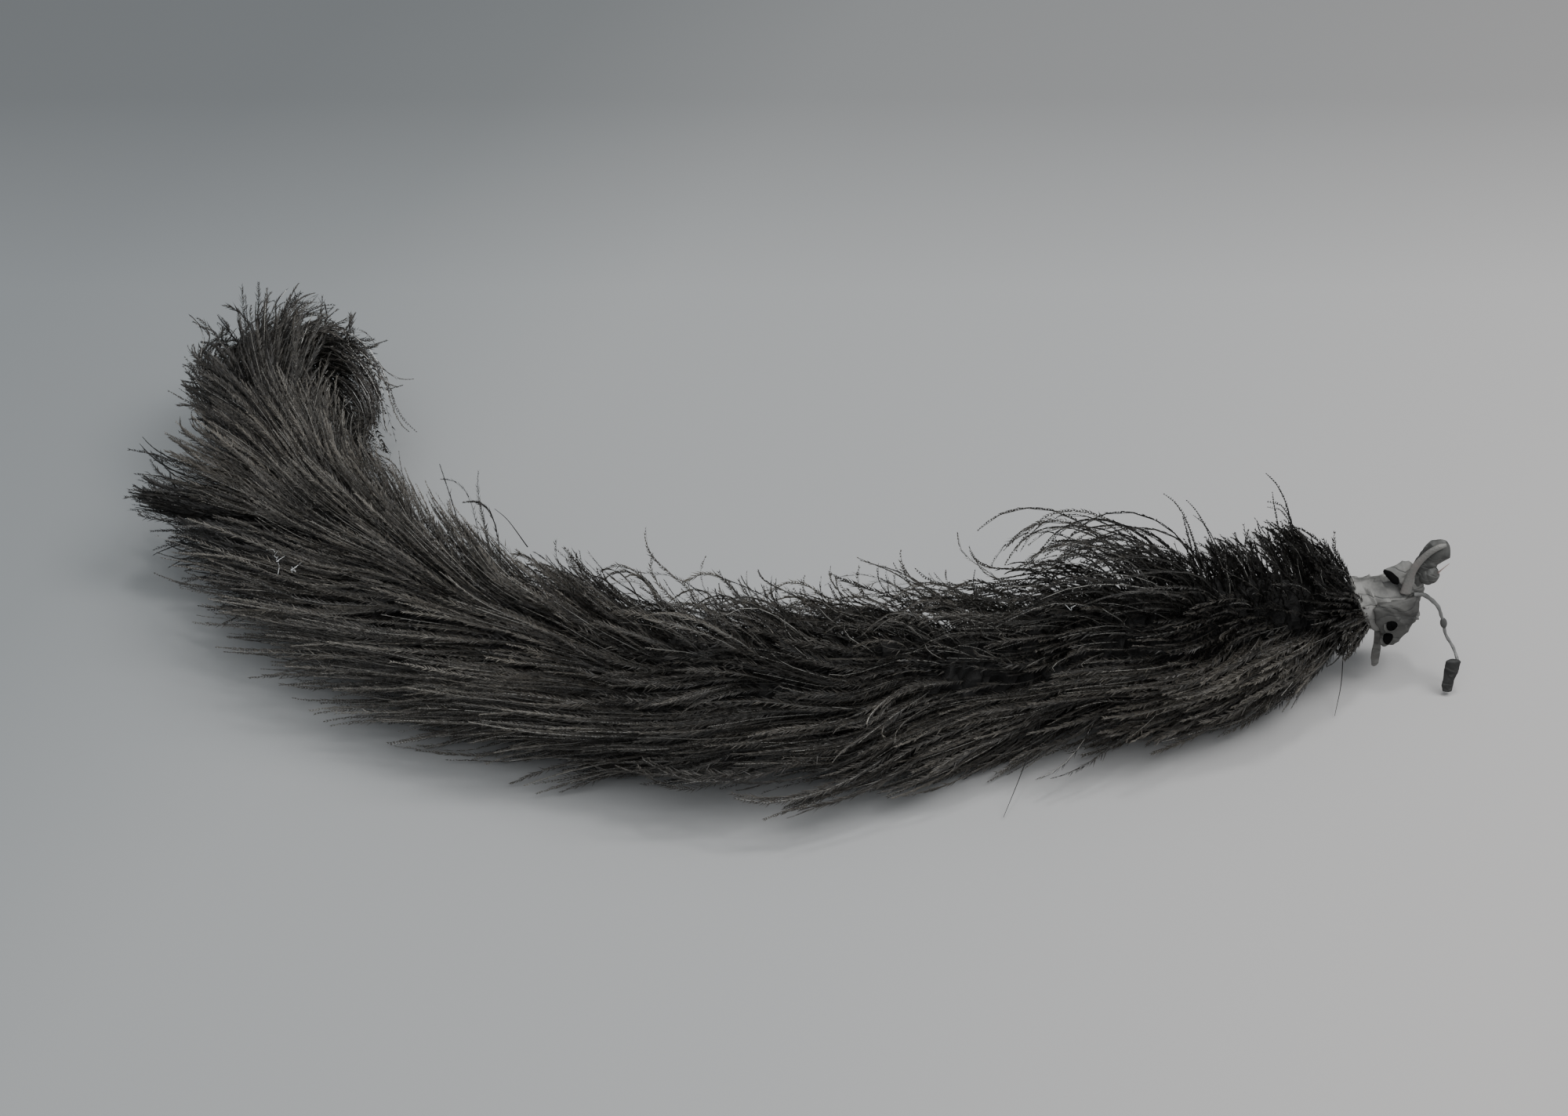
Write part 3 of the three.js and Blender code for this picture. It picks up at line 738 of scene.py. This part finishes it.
plume("barbs_foot", 150, [
    # the fringe over the edge of the tape
    Flock(110, (0.024, 0.045), (-125, -45), (6, 11), (0.9, 1.2), (48, 76), stiff=0.94, wave=0.2,
        tone=(0, 0.6), down=1.5),
    # the front of the foot
    Flock(130, (0.04, 0.11), (-66, -160), (14, 23), (1.0, 1.4), (50, 76), stiff=0.90, pull=0.4, down=1.5,
        thick=0.13),
    # a few long locks at its lower edge
    Flock(10, (0.07, 0.20), (-125, -95), (28, 36), (1.2, 1.4), (60, 76), wave=0.2, lock=3, pull=0.8,
        tone=(0.1, 0.6)),
    # its lower side, swept back
    Flock(190, (0.05, 0.15), (-66, -170), (22, 34), (0.8, 1.08), (58, 84), stiff=0.86, curl=0.1, flare=0.05,
        wave=0.3, lock=5, pull=0.35, down=1.6, ease=0.4, thick=0.13),
    # its run into the middle
    Flock(230, (0.13, 0.25), (-66, -205), (26, 42), (0.7, 1.03), (44, 68), stiff=0.82, curl=0.1, flare=0.05,
        wave=0.35, lock=5, pull=0.35, down=1.5, thick=0.13),
    # its far side
    Flock(60, (0.05, 0.24), (75, 155), (26, 40), (0.5, 1.0), (40, 70), stiff=0.7, flare=0.1, lock=7),
    # loose barbs above the front
    Flock(60, (0.08, 0.24), (-66, -20), (16, 26), (0.7, 1.0), (60, 95), stiff=0.84, curl=0.6, wave=0.4,
        lock=0, tone=(0, 0.7), down=1.3),
], wide=0.3)
plume("barbs_middle", 200, [
    # curly barbs on the top edge
    Flock(70, (0.21, 0.36), (-25, 60), (22, 32), (0.6, 0.9), (65, 95), stiff=0.84, curl=1.0, wave=0.4,
        lock=3, pull=0.4, tone=(0.1, 0.7), down=1.0, ease=0.35, thick=0.14),
    # the long smooth barbs of the outer side
    Flock(500, (0.22, 0.46), (-64, -205), (26, 44), (0.75, 1.12), (30, 52), stiff=0.78, curl=0.0,
        flare=0.10, wave=0.35, lock=5, pull=0.35, tone=(0, 0.7), down=1.4, thick=0.13),
    # the tangled top
    Flock(340, (0.28, 0.49), (-50, 80), (22, 34), (0.75, 1.1), (42, 68), stiff=0.80, curl=0.6, wave=0.45,
        pull=0.45, tone=(0, 0.5), down=1.5),
    # long locks at the lower edge
    Flock(12, (0.22, 0.42), (-120, -92), (36, 46), (1.15, 1.3), (50, 66), stiff=0.86, wave=0.2, lock=3,
        pull=0.9, tone=(0.1, 0.6)),
    # loose barbs over the top
    Flock(120, (0.22, 0.50), (-70, 10), (16, 26), (0.85, 1.1), (55, 95), stiff=0.84, curl=0.9, flare=0.05,
        wave=0.45, lock=0, tone=(0, 0.65), down=1.2, thick=0.14),
    # barbs that stand up and droop over the top edge
    Flock(80, (0.24, 0.48), (-20, 55), (22, 32), (0.75, 1.0), (82, 108), curl=0.6, flare=-0.25, wave=0.4,
        pull=0.4, tone=(0.3, 0.9), down=1.3, ease=0.35, thick=0.13),
    # one long lock that lies out from the lower edge
    Flock(9, (0.275, 0.300), (-116, -106), (40, 46), (1.12, 1.24), (42, 50), stiff=0.90, wave=0.15, lock=9,
        pull=0.85, tone=(0.1, 0.6)),
])
plume("barbs_bend", 300, [
    # the outer side
    Flock(560, (0.42, 0.66), (-185, -65), (28, 50), (0.8, 1.22), (36, 58), stiff=0.80, curl=0.0, flare=0.12,
        wave=0.3, lock=5, pull=0.35, tone=(0, 1.0), down=1.25, thick=0.13),
    # the top
    Flock(300, (0.44, 0.66), (-65, 25), (20, 34), (0.75, 1.08), (28, 46), stiff=0.76, curl=0.0, flare=0.15,
        wave=0.3, lock=5, pull=0.35, tone=(0.1, 1.0), down=1.15, thick=0.13),
    # the inner side
    Flock(110, (0.44, 0.68), (25, 175), (18, 29), (0.5, 1.05), (26, 50), stiff=0.66, flare=0.1, lock=7,
        down=1.2),
    # tufts on the inner edge
    Flock(24, (0.47, 0.60), (15, 70), (18, 24), (0.8, 1.0), (60, 78), stiff=0.86, curl=0.3, wave=0.3,
        lock=5, pull=0.6),
    # single barbs that stand up there
    Flock(4, (0.575, 0.605), (25, 55), (22, 27), (1.4, 1.8), (60, 80), stiff=0.92, curl=0.5, wave=0.2,
        lock=0, tone=(0, 0.3), down=1.2),
])
plume("barbs_tip", 400, [
    # the outer side
    Flock(270, (0.62, 0.76), (-185, -50), (22, 34), (0.75, 1.06), (30, 50), stiff=0.74, curl=0.1,
        flare=0.10, lock=5, pull=0.35, tone=(0.1, 1.0), down=1.1, thick=0.13),
    # the top
    Flock(200, (0.62, 0.76), (-50, 60), (16, 28), (0.65, 1.05), (28, 50), stiff=0.70, curl=0.1, flare=0.15,
        lock=5, pull=0.35, tone=(0.2, 1.0), down=1.1, thick=0.13),
    # the inner side
    Flock(80, (0.64, 0.80), (60, 175), (16, 28), (0.6, 1.0), (26, 42), stiff=0.70, curl=0.1, flare=0.05,
        lock=5, pull=0.35, down=1.2),
    # tufts on the inner edge
    Flock(90, (0.65, 0.78), (35, 110), (18, 28), (0.9, 1.4), (40, 66), stiff=0.84, curl=0.3, wave=0.3,
        pull=0.4, tone=(0.2, 0.9), down=1.2),
    # the tuft that sticks out on the outer side, painted dark as shade
    Flock(70, (0.722, 0.742), (-95, -86), (34, 40), (1.12, 1.32), (47, 57), curl=0.5, wave=0.2, lock=24,
        pull=0.7, tone=(0, 0.1), down=1.7),
    # the barbs below it, painted dark as the shade on that side
    Flock(170, (0.64, 0.75), (-124, -84), (30, 40), (1.02, 1.2), (34, 46), curl=0.3, lock=5, pull=0.4,
        tone=(0, 0.14), down=1.6),
    # long barbs above it
    Flock(20, (0.70, 0.76), (-84, -62), (26, 34), (1.0, 1.15), (34, 50), stiff=0.84, curl=0.3, flare=0.1,
        wave=0.3),
])
plume("barbs_curl", 450, [
    # the way into the curl
    Flock(220, (0.74, 0.84), (-180, 40), (14, 24), (0.6, 1.0), (30, 55), stiff=0.66, flare=0.08, wave=0.3,
        pull=0.35, tone=(0, 0.7), down=1.2),
    # all round it
    Flock(220, (0.80, 0.92), (-180, 180), (13, 24), (0.5, 0.98), (30, 60), stiff=0.64, curl=0.4, flare=0.10,
        wave=0.4, pull=0.4, tone=(0, 0.6), down=1.3),
    # its tousled end
    Flock(190, (0.86, 0.96), (-180, 180), (22, 36), (0.3, 0.85), (20, 50), stiff=0.50, curl=1.3, flare=0.05,
        wave=0.75, pull=0.4, tone=(0, 0.5), down=1.2),
    # tufts on its outer side
    Flock(80, (0.83, 0.93), (-130, -45), (13, 19), (1.1, 1.8), (30, 60), stiff=0.80, curl=0.5, flare=0.15,
        wave=0.3, lock=5, pull=0.6, tone=(0, 0.5), down=1.6),
    # longer tufts nearer its end
    Flock(45, (0.885, 0.94), (-115, -50), (13, 19), (2.0, 3.0), (50, 95), stiff=0.92, curl=0.3, flare=0.1,
        wave=0.2, lock=6, pull=0.6, tone=(0, 0.5), down=1.6),
    # barbs that lie across its open middle
    Flock(75, (0.79, 0.865), (5, 75), (20, 30), (0.8, 1.15), (26, 58), stiff=0.93, curl=0.3, wave=0.3,
        lock=5, pull=0.4, tone=(0, 0.55), down=1.5, thick=0.13),
    # shorter ones beyond them
    Flock(35, (0.87, 0.93), (20, 85), (13, 20), (0.8, 1.2), (40, 80), stiff=0.93, curl=0.4, wave=0.3,
        lock=5, pull=0.4, tone=(0, 0.45), down=1.5),
])
plume("barbs_inner", 500, [
    # under the foot
    Flock(340, (0.03, 0.3), (-180, 180), (16, 32), (0.3, 0.75), (50, 80), stiff=0.6, **INNER),
    # under the middle
    Flock(380, (0.28, 0.52), (-180, 180), (28, 42), (0.3, 0.78), (35, 60), stiff=0.6, **INNER),
    # under the bend, the tip and the curl
    Flock(560, (0.5, 0.95), (-180, 180), (16, 32), (0.3, 0.78), (35, 60), stiff=0.62, **INNER),
    # under the crest and the top edge, whose low tone fills the gaps behind them with painted shade
    Flock(240, (0.13, 0.38), (-45, 60), (18, 27), (0.62, 0.98), (58, 92), stiff=0.82, **INNER),
], wide=0.4, gap=1.35, start=0.15, rings=7)

# ---- the bound foot ----

SIDES = 72  # of the tapes' tubes

# each line through the middle of its piece
SLEEVE = [(102.8, -30.6, 14.7), (107.4, -30.3, 15.5), (111.2, -29.9, 16.6)]
FLAP = [(108.3, -33.8, 18.8), (108.6, -34.4, 16.6), (108.6, -34.7, 12.8), (108.1, -34.6, 9.0)]
HOLES = [
    [(107.1, -35.5, 15.9), (107.6, -35.8, 14.8), (108.2, -35.9, 13.4)],
    [(106.7, -35.4, 12.3), (107.3, -35.7, 11.4), (108.0, -35.7, 10.2)],
]
RIM_BEHIND = (0, 0.35, -0.3)  # from a hole to the rim round it
FOLD = [(105.7, -31.0, 22.9), (108.0, -31.4, 22.9), (111.0, -31.2, 22.6)]
FOLD_GAP = [(105.4, -32.0, 24.0), (106.5, -32.8, 23.5), (107.9, -33.8, 22.5)]
STEM_FOOT = [(109.8, -31.0, 16.6), (110.6, -31.2, 18.8), (111.3, -31.2, 21.2)]
STEM = [
    (110.3, -30.8, 17.5), (111.1, -30.9, 19.8), (111.9, -30.9, 22.3), (113.0, -30.9, 25.1),
    (114.6, -30.9, 27.8), (115.9, -30.9, 29.6),
]
LUMP = [(112.3, -31.9, 21.5), (113.5, -32.1, 23.0), (114.5, -32.0, 24.5)]
STEM_WIRE = [
    (109.5, -33.6, 20.1), (109.9, -33.0, 23.2), (110.7, -32.7, 25.7), (112.3, -32.5, 28.1),
    (113.9, -32.4, 29.5), (115.4, -32.2, 30.0),
]
THREAD_END = [(114.6, -32.6, 23.6), (115.4, -32.8, 25.0), (116.5, -32.6, 26.1)]
FINE_WIRE = [
    (111.2, -33.0, 19.3), (113.2, -33.0, 19.1), (115.8, -33.0, 16.7), (117.0, -33.0, 14.1),
    (117.7, -33.0, 12.3), (118.3, -33.4, 10.2), (119.8, -34.5, 8.0), (120.5, -36.2, 6.5),
]
KNOT_START, KNOT_LENGTH = 0.50, 0.13  # shares of the fine wire
TAIL = [(106.2, -33.2, 13.2), (106.1, -34.1, 9.8), (106.2, -34.3, 6.5), (106.5, -34.2, 3.4)]
SCRAP = [(119.5, -36.9, 7.2), (119.3, -37.4, 4.4), (119.1, -38.3, 0.9)]


def wound_tape():
    """Tape wound three times round the foot: its edge climbs once a turn and stands proud of the turn below.
    The far end is open: out along the wall, over a rim of the wall's thickness, and back in."""
    steps, depth, wall = 70, 0.22, 0.24
    t = np.linspace(0, 1, steps)
    outer = np.clip(0.9 + np.minimum(t, 1 - t) * 1.6, 0, 1)
    inner = outer[-1] * (1 - wall) * np.array([1.0, 0.95, 0.9])
    scales = np.r_[outer, outer[-1] * (1 - 0.5 * wall), inner][:, None]
    shares = np.r_[t, 1.0, 1 - depth * np.array([0.1, 0.5, 1.0])]
    s, turn = shares[:, None], turns(SIDES)
    helix = (s * 3.2 + turn / (2 * math.pi)) % 1.0
    size = 5.2 - 0.9 * s + 0.45 * helix - 0.25 * np.cos(2 * turn + 0.6) + 0.12 * np.sin(5 * turn + 9 * s)
    shape = swept(SLEEVE, shares, scales * size, 1.0, -0.35, crumple=(0.3, 9, 0.7, 5))
    part("wound_tape", shape, TAPE, "binding")


def turned_down_end():
    """The tape's end turned down over the front: a thin flat tube, wide above and narrow below."""
    t = np.linspace(0, 1, 50)
    radii = np.interp(t, [0, 0.08, 0.42, 0.72, 1], [3.6, 4.2, 3.7, 2.1, 0.9])
    turn = turns(SIDES)
    size = radii[:, None] * (1 + 0.07 * np.cos(3 * turn + 1) + 0.03 * np.sin(5 * turn + 6 * t[:, None]))
    shape = swept(FLAP, t, size, 0.3, crumple=(0.35, 12, 0.5, 8))
    part("turned_down_end", shape, SHADED_FLAP_TAPE, "binding")


def torn_holes():
    """Two holes torn in that end, one above the other: for each a frayed rim, and a little in front of it a
    black patch, painted shade for the dark inside. The radii follow the root of a sine along each."""
    t = np.linspace(0, 1, 16)
    bulge = np.sin(math.pi * np.linspace(0.03, 0.97, 16)) ** 0.5
    for i, line in enumerate(HOLES):
        rim = wavy_rings(1.45 * bulge, SIDES, (0.16, 3, i), (0.08, 7, 0))
        part(f"torn_rim_{i}", swept(np.array(line) + RIM_BEHIND, t, rim, 0.42), SHADED_FLAP_TAPE, "binding")
        hole_shade = wavy_rings(0.98 * bulge, SIDES, (0.18, 3, 2 * i), (0.1, 5, i))
        part(f"torn_hole_{i}", swept(line, 0.08 + 0.84 * t, hole_shade, 0.5), HOLLOW_SHADE, "binding")


def stem_fold():
    """The grey fold that the stem comes out of: a flat tongue over a black strip, painted shade in the gap
    under it, and the tape at its foot.
    """
    t = np.linspace(0, 1, 40)
    tongue = wavy_rings(np.interp(t, [0, 0.12, 0.5, 0.85, 1], [0.3, 0.8, 1.8, 2.4, 1.8]), SIDES, (0.06, 3, 0))
    shape = swept(FOLD, t, tongue, 0.4, crumple=(0.22, 12, 0.4, 12))
    part("stem_fold", shape, FOLDED_TAPE, "binding")
    # the black strip under the tongue: painted shade
    gap = round_rings(np.interp(t, [0, 0.3, 0.8, 1], [0.25, 0.65, 0.75, 0.3]), 24)
    part("fold_gap_shade", swept(FOLD_GAP, t, gap, 0.6), HOLLOW_SHADE, "binding")
    foot = wavy_rings(np.interp(t, [0, 0.3, 0.8, 1], [2.4, 2.8, 2.4, 1.6]), SIDES, (0.08, 3, 0))
    shape = swept(STEM_FOOT, t, foot, 0.7, crumple=(0.2, 12, 0.3, 13))
    part("stem_foot", shape, FOLDED_TAPE, "binding")


def dark_stem():
    """The dark stem, flat and rough with a round top, and the lump of tape stuck to it, whose radii follow
    a root of a sine."""
    t = np.linspace(0, 1, 60)
    radii = np.interp(t, [0, 0.5, 0.85, 1], [1.8, 1.8, 2.1, 2.1]) * np.clip((1 - t) / 0.14, 0, 1) ** 0.5
    strip = wavy_rings(radii, SIDES, (0.05, 4, 0), (0.05, 3, 14 * t[:, None]))
    part("stem_strip", swept(STEM, t, strip, 0.8, crumple=(0.2, 12, 0.4, 15)), DARK_TAPE, "stem")
    t = np.linspace(0, 1, 30)
    lump = wavy_rings(1.6 * np.sin(math.pi * np.clip(t, 0.02, 0.98)) ** 0.4, SIDES, (0.08, 3, 0))
    part("stem_lump", swept(LUMP, t, lump, 0.9, crumple=(0.2, 14, 0.3, 16)), DARK_TAPE, "stem")


def stem_wire():
    """The pale wire up the front of the stem, thinning upwards, and the end of thread beside it."""
    t = np.linspace(0, 1, 60)
    size = round_rings(np.interp(t, [0, 0.25, 0.6, 0.92, 1], [1.05, 0.8, 0.58, 0.5, 0.3]), 24)
    part("pale_wire", swept(STEM_WIRE, t, size, 0.5), BARE_WIRE, "stem_wire")
    t = np.linspace(0, 1, 20)
    part("thread_end", swept(THREAD_END, t, round_rings(0.16 - 0.1 * t, 8)), THREAD, "stem_wire")


def fine_wire():
    """The fine wire that hangs from the binding, in a cover with ripples along it, and the knot on it."""
    t = np.linspace(0, 1, 120)
    size = round_rings(np.interp(t, [0, 0.3, 0.5, 1], [0.42, 0.38, 0.30, 0.28]) + 0.03 * np.sin(60 * t), 16)
    part("fine_wire_cover", swept(FINE_WIRE, t, size, 0.8), COVERED_WIRE, "fine_wire")
    knot = round_rings(0.68 * np.sin(math.pi * np.linspace(0.03, 0.97, 40)) ** 0.5, 24)
    shares = KNOT_START + KNOT_LENGTH * np.linspace(0, 1, 40)
    part("fine_wire_knot", swept(FINE_WIRE, shares, knot, 0.7), KNOT, "fine_wire")


def hanging_ends():
    """The flat end of tape that hangs in front, and the dark scrap on the fine wire."""
    t = np.linspace(0, 1, 40)
    size = round_rings(0.78 * np.clip((1 - t) / 0.03, 0.5, 1) * (1 + 0.08 * np.sin(11 * t)), 48)
    shape = swept(TAIL, t, size, 0.3, crumple=(0.1, 8, 0.4, 21))
    part("hanging_tape", shape, SOILED_TAPE, "tape_tail")
    radii = np.interp(t, [0, 0.04, 0.3, 0.6, 0.97, 1], [0.9, 1.3, 1.35, 1.05, 0.85, 0.7])
    shape = swept(SCRAP, t, wavy_rings(radii, 48, (0.05, 4, 0)), 0.45, crumple=(0.12, 9, 0.3, 23))
    part("dark_scrap", shape, BLACK_SCRAP, "tape_scrap")


wound_tape()
turned_down_end()
torn_holes()
stem_fold()
dark_stem()
stem_wire()
fine_wire()
hanging_ends()

# ---- strays and dirt ----

HAIRS = [
    [(44.0, -55.5, 10.0), (41.0, -62.5, 5.5), (37.4, -69.5, 0.6)],
    [(-46.0, -22.0, 21.0), (-49.5, -18.8, 24.5), (-52.0, -17.2, 26.0)],
    [(100.0, -35.3, 8.0), (99.4, -39.8, 4.0), (98.0, -44.3, 0.5)],
]
# where each bit of lint is, how far it spreads, and how many threads it has
SPECKS = [
    ((-88.5, -31.0, 25.5), 1.2, 5), ((-85.5, -33.0, 25.5), 0.6, 5), ((48.9, -50.0, 31.1), 0.3, 2),
    ((54.0, -55.8, 18.5), 0.2, 1), ((74.5, -50.3, 14.3), 0.2, 2),
]
LINT_SPREAD = np.array([1, 0.7, 0.4])  # lint lies flatter than it is wide


def stray_hairs():
    """A few bare hairs that have worked loose, thinning to their tips."""
    t = np.linspace(0, 1, 30)
    hair = round_rings(0.11 * (1 - 0.6 * t), 6)
    part("stray_hairs", joined([swept(line, t, hair) for line in HAIRS]), SHADE_AND_HAIR, "feather")


def white_lint():
    """White threads caught in the barbs: each is a bend between three points, a normal draw apart."""
    t = np.linspace(0, 1, 30)
    thread = np.full((30, 5), 0.06)
    draw = np.random.default_rng(31)
    threads = []
    for spot, spread, count in SPECKS:
        for _ in range(count):
            start = np.asarray(spot) + draw.normal(size=3) * LINT_SPREAD * spread
            bend = start + draw.normal(size=3) * 0.6
            end = bend + draw.normal(size=3) * 0.7
            threads.append(swept([start, bend, end], t, thread))
    part("white_lint", joined(threads), LINT, "feather")


stray_hairs()
white_lint()

# ---- floor, light and camera ----

# the floor's colour across it, painted darker towards the back on the left as shade
FLOOR_TONES = [
    (0.0, (0.185, 0.197, 0.204)), (0.15, (0.205, 0.217, 0.222)), (0.33, (0.272, 0.279, 0.281)),
    (0.6, (0.306, 0.308, 0.308)), (0.9, (0.37, 0.36, 0.353)),
]
FLOOR_HALF, WALL_START, WALL_CURVE, WALL_TOP = 1500, 1000, 300, 1500


def floor_finish():
    """A pale grey floor with painted shade: a little darker and bluer towards the back on the left, and
    dimmer far back.
    """
    f = Finish("pale_floor")
    x = f.node("ShaderNodeSeparateXYZ", {}, [f.place()], output="X")
    y = f.node("ShaderNodeSeparateXYZ", {}, [f.place()], output="Y")
    # painted shade, darker far back
    far_back_shade = ((y - 0.10) * 12.0).clamp() * 0.34
    shade = f.ramp(((x - 0.4 * y) * 2.5 + 0.5).clamp(), FLOOR_TONES)
    return f.surface(Base_Color=f.mix(far_back_shade, shade, (0.0, 0.0, 0.0)), Roughness=0.85)


def plain_floor():
    """A flat square that curves up into a wall far behind: the wall is a quarter circle, then upright."""
    u = np.linspace(-1, 1, 3)
    bend = np.linspace(0, math.pi / 2, 9)
    y = np.r_[-900, -300, 300, 900, WALL_START + WALL_CURVE * np.sin(bend), WALL_START + WALL_CURVE]
    z = np.r_[0, 0, 0, 0, WALL_CURVE - WALL_CURVE * np.cos(bend), WALL_TOP]
    rows = (len(y), 3)
    sides = (np.broadcast_to(v, rows) for v in (FLOOR_HALF * u, y[:, None], z[:, None]))
    i, j = np.meshgrid(np.arange(len(y) - 1), np.arange(2), indexing="ij")
    a = (i * 3 + j).ravel()
    return np.stack(list(sides), axis=-1).reshape(-1, 3) + MIDDLE, np.stack([a, a + 1, a + 4, a + 3], axis=-1)


def lamp(name, place, aim, size, watts):
    """A square area light at place in millimetres, facing aim."""
    light = bpy.data.lights.new(name, "AREA")
    light.size, light.energy = size * MM, watts
    lamp_object = scene_object(name, light)
    lamp_object.location = [c * MM for c in place]
    lamp_object.rotation_euler = (Vector(aim) - Vector(place)).to_track_quat("-Z", "Y").to_euler()


floor = mesh_object("pale_floor", *plain_floor(), floor_finish(), True)

lamp("window", (430, -70, 700), (30, 0, 0), 340, 3.8)
lamp("overhead", (60, 60, 900), (0, 0, 0), 110, 2.2)
lamp("ceiling", (0, -600, 1400), (0, 0, 0), 1500, 14.5)
world = bpy.data.worlds.new("room")
bpy.context.scene.world = world
world.use_nodes = True
world.node_tree.nodes["Background"].inputs["Color"].default_value = (0.9, 0.95, 1.0, 1)
world.node_tree.nodes["Background"].inputs["Strength"].default_value = 0.5

VIEW_HEIGHT = math.radians(40)  # the camera's angle above the floor
VIEW_WIDTH = math.radians(34)
HALF_PLUME = 150  # half of what fits across the view at the plume, in mm
SENSOR = 36

distance = HALF_PLUME / math.tan(VIEW_WIDTH / 2)
camera = bpy.data.cameras.new("camera")
camera.sensor_width = SENSOR
camera.lens = SENSOR / 2 / math.tan(VIEW_WIDTH / 2)
camera.clip_start = 0.01
camera_object = scene_object("camera", camera)
back_off = np.array([0, -math.cos(VIEW_HEIGHT), math.sin(VIEW_HEIGHT)])
camera_object.location = -MIDDLE * MM + back_off * distance * MM
camera_object.rotation_euler = (math.pi / 2 - VIEW_HEIGHT, 0, 0)
bpy.context.scene.camera = camera_object
